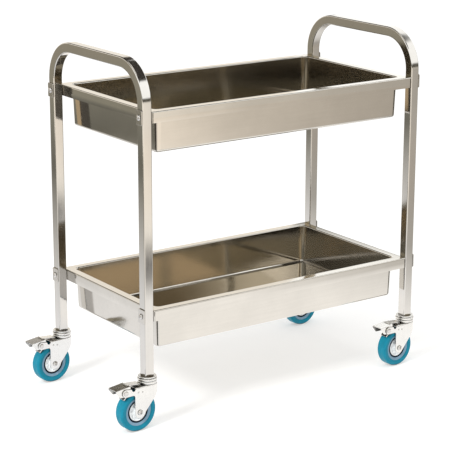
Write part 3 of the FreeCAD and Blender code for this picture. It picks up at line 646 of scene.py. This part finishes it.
def rear_web(place):
    """Rounded back of the fork, joining the cheeks."""
    vertices, faces = [], []
    steps, rows = 32, 6
    for step in range(steps + 1):
        angle = QUARTER_TURN + math.pi * step / steps
        c, s = math.cos(angle), math.sin(angle)
        foot = cheek_foot(ROUND_CENTRE + CHEEK_OUTER * c)
        for radius in (CHEEK_OUTER, CHEEK_INNER):
            for row in range(rows + 1):
                height = foot + (CROWN_UNDER - foot) * row / rows
                vertices.append(Vector((ROUND_CENTRE + radius * c, radius * s, height)) * MM)
    inner = rows + 1
    for step in range(steps):
        a, b = step * 2 * inner, (step + 1) * 2 * inner
        for row in range(rows):
            faces.append((a + row, b + row, b + row + 1, a + row + 1))
            faces.append((a + inner + row, a + inner + row + 1, b + inner + row + 1, b + inner + row))
        faces.append((a, a + inner, b + inner, b))
    return tidy(make_mesh("web", vertices, faces, place))


def fork_mesh(place):
    outline = cheek_outline()
    parts = [plate("cheek", outline, side * CHEEK_INNER, side * CHEEK_OUTER, place) for side in (-1, 1)]
    head = [(6.3, 111.2), (16.6, 111.2), (17.0, 111.6), (17.0, 113.9)]
    head += arc(20.2, 117.0, 3.0, -90, 0, 6) + arc(20.2, 118.7, 3.0, 0, 62, 5)
    head += arc(21.2, 124.5, 3.0, -62, 0, 5) + arc(21.2, 125.3, 3.0, 0, 86, 7)
    head += [(21.4, 128.2), (21.4, 123.0), (17.5, 123.0), (17.5, 123.9), (6.3, 123.9)]
    parts.append(lathe("head", head, FINE, "Z", place))
    parts.append(crown_mesh(place))
    parts.append(rear_web(place))
    return joined("fork_look", parts)


def dome(radius, height, base=0.6):
    """Half profile of a round head standing on station 0."""
    points = [(0.0, 0.0), (radius - 0.3, 0.0), (radius, 0.3), (radius, base)]
    for step in range(1, 8):
        angle = QUARTER_TURN * step / 7
        points.append((radius * math.cos(angle), base + (height - base) * math.sin(angle)))
    return points


def socket_dome(radius, height, socket):
    """Button head with a round-cornered recess for the key."""
    points = [p for p in dome(radius, height) if p[0] > socket + 0.4 or p[1] == 0.0]
    rim = height - 0.35
    points += [(socket + 0.25, rim), (socket, rim - 0.3)]
    return points + [(socket * 0.9, height - 2.4), (0.0, height - 2.7)]


def on_cheek(place, x, z, side):
    """Placement with local Z pointing out of the cheek's outer face on one side."""
    turn = Matrix.Rotation(-QUARTER_TURN * side, 4, "X")
    return place @ Matrix.Translation((x * MM, side * CHEEK_OUTER * MM, z * MM)) @ turn


def rivets_mesh(place):
    pin = [(0, -CHEEK_OUTER), (4, -CHEEK_OUTER), (4, CHEEK_OUTER), (0, CHEEK_OUTER)]
    pivot = place @ Matrix.Translation((PIVOT_X * MM, 0, PIVOT_Z * MM))
    parts = [lathe("pin", pin, COARSE, "Y", pivot)]
    for side in (-1, 1):
        parts.append(lathe("pivot_head", dome(6.2, 1.8), PLAIN, "Z", on_cheek(place, PIVOT_X, PIVOT_Z, side)))
        for x, z in SMALL_RIVETS:
            parts.append(lathe("rivet", dome(2.2, 0.9, 0.2), 24, "Z", on_cheek(place, x, z, side)))
    return joined("fork_rivets_look", parts)


def hexagon(low, high, placement):
    """Nut: a six-sided prism."""
    outline = arc(0.0, 0.0, NUT_FLATS / math.sqrt(3), 0, 300, 5)
    return plate("nut", outline, low, high, placement)


def axle_bolt_mesh(place):
    profile = [(0, -28.0), (3.6, -28.0), (4.0, -27.5), (4.0, CHEEK_OUTER), (0, CHEEK_OUTER)]
    shank = lathe("shank", profile, PLAIN, "Y", at_axle(place))
    head = lathe("head", socket_dome(*BOLT_HEAD), MIDDLE, "Z", on_cheek(place, TRAIL, AXLE_HEIGHT, 1))
    return joined("axle_bolt_look", [shank, head])


def pedal_mesh(place):
    flange = [(60.0, 120.4), (101.0, 116.0), (101.4, 113.6), (100.6, 111.2), (90.6, 98.9), (88.0, 97.6),
              (68.0, 97.0), (65.2, 98.6), (60.0, 109.6)]
    parts = [plate("flange", flange, side * FLANGE_INNER, side * FLANGE_OUTER, place) for side in (-1, 1)]
    top = [(60.0, 121.0), (100.4, 116.65), (101.0, 116.2), (101.1, 115.2), (100.4, 115.2), (60.0, 119.5)]
    parts.append(plate("top", top, -FLANGE_OUTER, FLANGE_OUTER, place))
    return joined("pedal_look", parts)


def tab_mesh(place):
    outline = [(27.0, 118.6), (27.6, 119.25), (64.8, 122.5), (66.0, 122.2), (66.2, 120.4), (60.0, 121.05),
               (59.0, 120.2), (27.0, 117.6)]
    return plate("release_tab_look", outline, -TAB_HALF, TAB_HALF, place)


def shoe_mesh(place):
    """Tongue that follows the tyre, hung from a bent strip under the pedal."""
    inner = WHEEL_RADIUS + SHOE_GAP
    outer = inner + SHOE_SHEET
    outline = arc(TRAIL, AXLE_HEIGHT, inner, 42, 60, 8) + arc(TRAIL, AXLE_HEIGHT, outer, 60, 59.2, 1)
    outline += [(63.0, 99.0), (63.0, 119.0), (69.0, 118.4), (69.0, 94.2)]
    outline += arc(TRAIL, AXLE_HEIGHT, outer, 50, 42, 5)
    return plate("brake_shoe_look", outline, -SHOE_HALF, SHOE_HALF, place)


def castor(name):
    place = castor_place(name)
    fork, wheel, brake = "swivel_" + name, "wheel_" + name, "brake_" + name

    def put(kind, mesh, material, body, bevel=0.0):
        add_piece(kind + "_look_" + name, mesh, material, body, [kind + "_" + name], bevel)

    put("fork", fork_mesh(place), CASTOR_STEEL, fork, 0.7)
    put("fork_rivets", rivets_mesh(place), FASTENER_STEEL, fork)
    put("axle_bolt", axle_bolt_mesh(place), FASTENER_STEEL, fork)
    put("axle_nut", hexagon(-26.0, -CHEEK_OUTER, at_axle(place)), FASTENER_STEEL, fork, 0.6)
    sleeve = [(4, -CHEEK_INNER), (6, -CHEEK_INNER), (6, CHEEK_INNER), (4, CHEEK_INNER)]
    bush = lathe("axle_bush_look", sleeve, PLAIN, "Y", at_axle(place))
    put("axle_bush", bush, FASTENER_STEEL, fork, 0.2)
    put("wheel_centre", wheel_centre_mesh(place), WHEEL_WHITE, wheel, 0.35)
    put("seal_rings", seal_mesh(place), SEAL_DARK_AND_SHADE, wheel)
    put("rim_band", rim_band_mesh(place), RIM_GREY, wheel)
    put("tyre", tyre_mesh(place), TYRE_BLUE, wheel)
    put("pedal", pedal_mesh(place), PEDAL_STEEL, brake, 0.4)
    put("release_tab", tab_mesh(place), CASTOR_STEEL, brake, 0.4)
    put("brake_shoe", shoe_mesh(place), PEDAL_STEEL, brake, 0.4)


def stem_mesh(place):
    """Stem with the fixed upper race and the collar under the leg."""
    top = LEG_END / MM - 2.0
    under = top - 3.5
    profile = [(0.0, 106.0), (8.2, 106.0), (9.0, 106.8), (9.0, 110.9), (6.0, 110.9), (6.0, under)]
    profile += [(18.9, under), (18.9, under - 4.5), (20.5, under - 4.5), (20.5, under), (21.9, under)]
    profile += [(22.3, under + 0.5)] + arc(20.9, top - 1.4, 1.4, 0, 90, 4) + [(0.0, top)]
    return lathe("stem", profile, FINE, "Z", place)


# ---- Tray joints ---------------------------------------------------------------------------------
PLATE_LENGTH, PLATE_WIDTH, PLATE_THICKNESS = 35.0, 25.0, 3.0
PLATE_CORNER = 2.5
NUT_SEAT, NUT_END = -27.8, -34.3


def joint_seats():
    """Centre of each bolt on the leg's outer face, with local Z pointing outwards."""
    low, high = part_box("joint_plates")
    drop = PLATE_LENGTH * MM / 2
    leg = HALF_WIDTH - TUBE / 2
    for height in (low.z + drop, high.z - drop):
        for outward, face in ((-1, LEFT_LOW.x), (1, RIGHT_HIGH.x)):
            for side in (-1, 1):
                turn = Matrix.Rotation(QUARTER_TURN * outward, 4, "Y")
                yield Matrix.Translation((face, CENTRE_Y + side * leg, height)) @ turn


def across(seat):
    """The seat turned so that a plate's thickness runs out of the leg."""
    return seat @ Matrix.Rotation(QUARTER_TURN, 4, "X")


def plate_mesh(seat):
    outline = [point for *_, turn in rounded_rectangle(PLATE_LENGTH / 2, PLATE_WIDTH / 2, PLATE_CORNER, 5)
               for point in turn]
    return plate("joint_plate", outline, 0.0, PLATE_THICKNESS, across(seat))


def bolt_mesh(seat):
    outside = seat @ Matrix.Translation((0, 0, PLATE_THICKNESS * MM))
    head = lathe("bolt_head", socket_dome(*BOLT_HEAD), MIDDLE, "Z", outside)
    profile = [(0, -36.3), (3.5, -36.3), (4.0, -35.7), (4.0, PLATE_THICKNESS), (0, PLATE_THICKNESS)]
    return joined("joint_bolt", [head, lathe("bolt_shank", profile, COARSE, "Z", seat)])


def washer_mesh(seat):
    profile = [(4.3, NUT_SEAT), (7.8, NUT_SEAT), (8.0, -27.6), (8.0, -26.4), (7.8, -26.2), (4.3, -26.2)]
    return lathe("joint_washer", profile, PLAIN, "Z", seat)


def nut_mesh(seat):
    return hexagon(NUT_END, NUT_SEAT, across(seat))


def root_pieces():
    seats = list(joint_seats())
    for kind, build, material, slot, bevel in (
        ("joint_plates", plate_mesh, PLATE_STEEL, "plate_steel", 0.6),
        ("joint_bolts", bolt_mesh, FASTENER_STEEL, "fastener", 0.0),
        ("joint_washers", washer_mesh, FASTENER_STEEL, "fastener", 0.0),
        ("joint_nuts", nut_mesh, FASTENER_STEEL, "fastener", 0.5),
    ):
        mesh = joined(kind + "_look", [build(seat) for seat in seats])
        add_piece(kind + "_look", mesh, material, "trolley", [kind], bevel)
    stems = joined("castor_stems_look", [stem_mesh(castor_place(name)) for name in CASTORS])
    add_piece("castor_stems_look", stems, CASTOR_STEEL, "trolley", ["castor_stems"])
    for node, material in (("leg_inserts", INSERT_STEEL), ("swivel_balls", FASTENER_STEEL)):
        cad = frame["nodes"][node]
        cad.data.materials.clear()
        cad.data.materials.append(material)


end_frame("left", LEFT_LOW, LEFT_HIGH)
end_frame("right", RIGHT_LOW, RIGHT_HIGH)
tray("upper_tray")
tray("lower_tray")
root_pieces()
for castor_name in CASTORS:
    castor(castor_name)


# ---- Camera --------------------------------------------------------------------------------------
CAMERA_AZIMUTH = math.radians(-35.08)
CAMERA_RISE = math.radians(15.34)
CAMERA_ROLL = math.radians(0.14)
CAMERA_DISTANCE = 4.349
CAMERA_SHIFT = (-0.0284, -0.1010)
CAMERA_LENS, CAMERA_SENSOR = 135.2, 36.0
AIM = Vector((CENTRE_X, CENTRE_Y, 0.5))


def make_camera():
    data = bpy.data.cameras.new("camera")
    data.lens = CAMERA_LENS
    data.sensor_width = CAMERA_SENSOR
    data.clip_end = 100.0
    camera = bpy.data.objects.new("camera", data)
    back = Vector((math.sin(CAMERA_AZIMUTH) * math.cos(CAMERA_RISE),
                   -math.cos(CAMERA_AZIMUTH) * math.cos(CAMERA_RISE), math.sin(CAMERA_RISE)))
    level = Vector((math.cos(CAMERA_AZIMUTH), math.sin(CAMERA_AZIMUTH), 0.0))
    upright = back.cross(level)
    right = level * math.cos(CAMERA_ROLL) + upright * math.sin(CAMERA_ROLL)
    up = upright * math.cos(CAMERA_ROLL) - level * math.sin(CAMERA_ROLL)
    place = AIM + back * CAMERA_DISTANCE + right * CAMERA_SHIFT[0] + up * CAMERA_SHIFT[1]
    camera.matrix_world = Matrix((
        (right.x, up.x, back.x, place.x), (right.y, up.y, back.y, place.y),
        (right.z, up.z, back.z, place.z), (0, 0, 0, 1)))
    SCENE.collection.objects.link(camera)
    SCENE.camera = camera


# ---- Studio --------------------------------------------------------------------------------------
FLOOR_HALF = 60.0
WALL_RADIUS, WALL_HEIGHT = 3.4, 6.0
WALL_START, WALL_SWEEP, WALL_STEPS = -200, 250, 48
BACKDROP_LEFT, BACKDROP_RIGHT, BACKDROP_BACK, BACKDROP_TOP = -3.0, 3.5, 1.8, 4.0
RAMP_REACH = 6.0  # metres covered by one colour ramp

# Floor in reflections: a dark patch in front, and how far deeper reflections are dimmed.
DARK_PATCH = (0.36, -1.36)
DIM = 0.14

# Paper floor and backing as the camera sees them, and the light that dull surfaces gather.
PAPER_TONE = (1.0, 1.0, 0.995)
PAPER_LIFT, PAPER_LIFT_TONE = 0.45, (1.0, 0.995, 0.98)
OVERALL_WHITE = 1.1
AMBIENT = 0.85


def beyond_first(sh):
    """One for rays that have met the metal more than once."""
    return sh.remap(sh.ray("Glossy Depth"), 1.0, 2.0)


def aside(sh, x, radius):
    """Fades the light in front of the trolley towards its right-hand side."""
    return sh.ramp(sh.maths("DIVIDE", x, sh.maths("MAXIMUM", radius, 0.05)), (
        (0.36, 1.12), (0.44, 1.00), (0.53, 0.73), (0.62, 0.61), (0.74, 0.48), (1.00, 0.40)))


def floor_light(sh):
    """White paper floor that keeps soft shadows; in reflections it fades to a dim studio floor."""
    x, y, _ = sh.coordinates()
    radius = sh.distance(x, y, CENTRE_X, CENTRE_Y)
    reach = sh.maths("DIVIDE", radius, RAMP_REACH)
    front = sh.ramp(reach, (
        (0.00, (1.14, 1.11, 1.07)), (0.17, (1.12, 1.09, 1.05)), (0.27, (1.05, 0.99, 0.90)),
        (0.40, (1.02, 0.92, 0.80)), (1.00, (1.00, 0.89, 0.74))))
    far_away = sh.remap(radius, 0.8, 1.6)
    front = sh.brightness(front, sh.mix(far_away, WHITE, aside(sh, x, radius)))
    left = sh.ramp(reach, (
        (0.00, (1.03, 1.02, 1.02)), (0.14, (0.99, 0.98, 0.98)), (0.20, (0.86, 0.85, 0.84)),
        (0.245, (0.70, 0.68, 0.65)), (0.38, (0.37, 0.35, 0.31)), (0.46, (0.17, 0.16, 0.13)),
        (0.50, (0.19, 0.18, 0.15)), (0.68, (0.31, 0.29, 0.23)), (1.00, (0.35, 0.31, 0.24))))
    leftwards = sh.maths("ADD", sh.maths("MULTIPLY", x, -0.9), sh.maths("MULTIPLY", y, 0.35))
    to_left = sh.remap(sh.maths("DIVIDE", leftwards, sh.maths("MAXIMUM", radius, 0.05)), 0.1, 0.6)
    seen = sh.mix(to_left, front, left)
    seen = sh.brightness(seen, sh.remap(sh.distance(x, y, *DARK_PATCH), 0.10, 0.36, 0.20, 1.0))
    beside = sh.maths("MAXIMUM", sh.remap(y, -0.15, 0.0, DIM, 1.0), sh.remap(x, -0.56, -0.50, 0.70, 0.0))
    dim = sh.maths("MINIMUM", sh.remap(radius, 1.1, 1.9, 1.0, DIM), beside)
    seen = sh.brightness(seen, sh.mix(beyond_first(sh), WHITE, dim))

    paper = sh.add("ShaderNodeBsdfDiffuse")
    grain = sh.remap(sh.noise(*PAPER_GRAIN), 0.0, 1.0, 0.58, 0.62)
    sh.link(sh.mix(grain, BLACK, PAPER_TONE), paper.inputs["Color"])
    lit = sh.add("ShaderNodeAddShader")
    sh.link(paper.outputs["BSDF"], lit.inputs[0])
    sh.link(sh.glow(PAPER_LIFT_TONE, PAPER_LIFT), lit.inputs[1])
    look = sh.either(sh.remap(radius, 1.2, 2.2), lit.outputs["Shader"], sh.glow(WHITE, OVERALL_WHITE))
    sh.link(sh.either(sh.ray("Is Glossy Ray"), look, sh.glow(seen)), sh.surface)


def wall_light(sh):
    """Room on the camera's side: bright above shoulder height, with a dark line below and a dark ceiling."""
    x, y, z = sh.coordinates()
    height = sh.maths("DIVIDE", z, RAMP_REACH)
    once = sh.ramp(height, (
        (0.00, (1.03, 0.95, 0.84)), (0.10, (0.95, 0.88, 0.77)), (0.125, (0.10, 0.09, 0.07)),
        (0.175, (0.10, 0.09, 0.07)), (0.21, (1.25, 1.24, 1.20)), (0.66, (1.30, 1.29, 1.26)),
        (0.74, (0.06, 0.055, 0.045)), (1.00, (0.05, 0.045, 0.04))))
    near_floor = sh.remap(z, 0.5, 0.8, 1.0, 0.0)
    shade = aside(sh, x, sh.distance(x, y, CENTRE_X, CENTRE_Y))
    once = sh.brightness(once, sh.mix(near_floor, WHITE, shade))
    again = sh.ramp(sh.remap(x, -WALL_RADIUS, WALL_RADIUS), (
        (0.00, (0.25, 0.24, 0.20)), (0.16, (0.25, 0.24, 0.20)), (0.185, (0.08, 0.07, 0.055)),
        (0.216, (0.07, 0.065, 0.05)), (0.235, (1.60, 1.50, 1.32)), (0.26, (1.20, 1.08, 0.88)),
        (0.37, (0.35, 0.30, 0.22)), (0.50, (0.18, 0.14, 0.09)), (0.80, (0.16, 0.12, 0.07)),
        (0.84, (0.75, 0.66, 0.50)), (1.00, (0.60, 0.55, 0.45))))
    fall = sh.ramp(height, (
        (0.00, 0.50), (0.21, 0.60), (0.255, 1.0), (0.30, 1.0), (0.34, 0.95), (0.39, 0.14), (0.50, 0.40),
        (1.00, 0.50)))
    again = sh.brightness(again, fall)
    sh.link(sh.glow(sh.mix(beyond_first(sh), once, again)), sh.surface)


def rear_light(sh):
    """Backdrop as deeper reflections see it: warm low down on the right, dim above and on the left."""
    x, _, z = sh.coordinates()
    low = sh.ramp(sh.remap(x, -3.0, 3.0), (
        (0.00, (0.28, 0.27, 0.22)), (0.22, (0.22, 0.20, 0.16)), (0.29, (0.35, 0.31, 0.23)),
        (0.34, (0.50, 0.42, 0.29)), (0.50, (0.55, 0.44, 0.29)), (0.60, (0.72, 0.55, 0.35)),
        (1.00, (0.72, 0.55, 0.35))))
    high = sh.ramp(sh.maths("DIVIDE", z, BACKDROP_TOP), (
        (0.00, (0.16, 0.13, 0.08)), (0.30, (0.13, 0.11, 0.065)), (0.50, (0.06, 0.052, 0.035)),
        (1.00, (0.05, 0.045, 0.03))))
    colour = sh.mix(sh.remap(z, 1.10, 1.18), low, high)
    clear = sh.add("ShaderNodeBsdfTransparent")
    sh.link(sh.either(beyond_first(sh), clear.outputs["BSDF"], sh.glow(colour)), sh.surface)


def make_world():
    """Even white for the camera, soft light for dull surfaces, a dim room in reflections."""
    world = bpy.data.worlds.new("studio")
    SCENE.world = world
    sh = Shader(world, "ShaderNodeOutputWorld", "Generated")
    sky = "ShaderNodeBackground"
    room = sh.ramp(sh.coordinates()[2], (
        (0.0, (1.05, 0.99, 0.88)), (0.36, (1.02, 0.95, 0.85)), (0.46, (0.07, 0.06, 0.05)),
        (0.88, (0.05, 0.045, 0.04)), (0.93, (1.00, 0.95, 0.86))))
    seen = sh.either(sh.ray("Is Camera Ray"), sh.glow(room, 1.0, sky), sh.glow(WHITE, OVERALL_WHITE, sky))
    sh.link(sh.either(sh.ray("Is Diffuse Ray"), seen, sh.glow(WHITE, AMBIENT, sky)), sh.surface)


def card(name, vertices, faces, light, camera=False):
    """Studio surface whose look is its own light."""
    mesh = make_mesh(name, vertices, faces)
    sh = Shader(bpy.data.materials.new(name))
    light(sh)
    sh.owner.cycles.emission_sampling = "NONE"
    mesh.materials.append(sh.owner)
    thing = bpy.data.objects.new(name, mesh)
    SCENE.collection.objects.link(thing)
    if not camera:
        thing.visible_camera = False
        thing.visible_diffuse = False
        thing.visible_shadow = False


def make_floor():
    vertices = [(x * FLOOR_HALF, y * FLOOR_HALF, 0.0) for x, y in ((-1, -1), (1, -1), (1, 1), (-1, 1))]
    card("floor", vertices, [(0, 1, 2, 3)], floor_light, camera=True)


def make_walls():
    """Curved wall round the camera's side and a backdrop, both seen only in reflections."""
    plan = arc(CENTRE_X, CENTRE_Y, WALL_RADIUS, WALL_START, WALL_START + WALL_SWEEP, WALL_STEPS)
    vertices = [(x, y, z) for x, y in plan for z in (0.0, WALL_HEIGHT)]
    card("room_wall", vertices, [(a, a + 2, a + 3, a + 1) for a in range(0, 2 * WALL_STEPS, 2)], wall_light)
    vertices = [(BACKDROP_LEFT, BACKDROP_BACK, 0.0), (BACKDROP_RIGHT, BACKDROP_BACK, 0.0),
                (BACKDROP_RIGHT, BACKDROP_BACK, BACKDROP_TOP), (BACKDROP_LEFT, BACKDROP_BACK, BACKDROP_TOP)]
    card("backdrop", vertices, [(0, 1, 2, 3)], rear_light)


def area_light(name, place, size, power, colour):
    """Round soft light aimed at the trolley, left out of reflections."""
    data = bpy.data.lights.new(name, "AREA")
    data.shape = "DISK"
    data.size = size
    data.energy = power
    data.color = colour
    lamp = bpy.data.objects.new(name, data)
    lamp.location = place
    lamp.rotation_mode = "QUATERNION"
    lamp.rotation_quaternion = (Vector(place) - AIM).to_track_quat("Z", "Y")
    lamp.visible_camera = False
    lamp.visible_glossy = False
    SCENE.collection.objects.link(lamp)


make_camera()
make_world()
make_floor()
make_walls()
area_light("key", (-3.4, -1.0, 3.0), 1.0, 110.0, (1.0, 0.99, 0.97))
area_light("top", (0.2, -0.4, 4.2), 2.0, 40.0, WHITE)
SCENE.view_settings.view_transform = "Standard"
SCENE.view_settings.look = "None"
SCENE.view_settings.exposure = 0.0
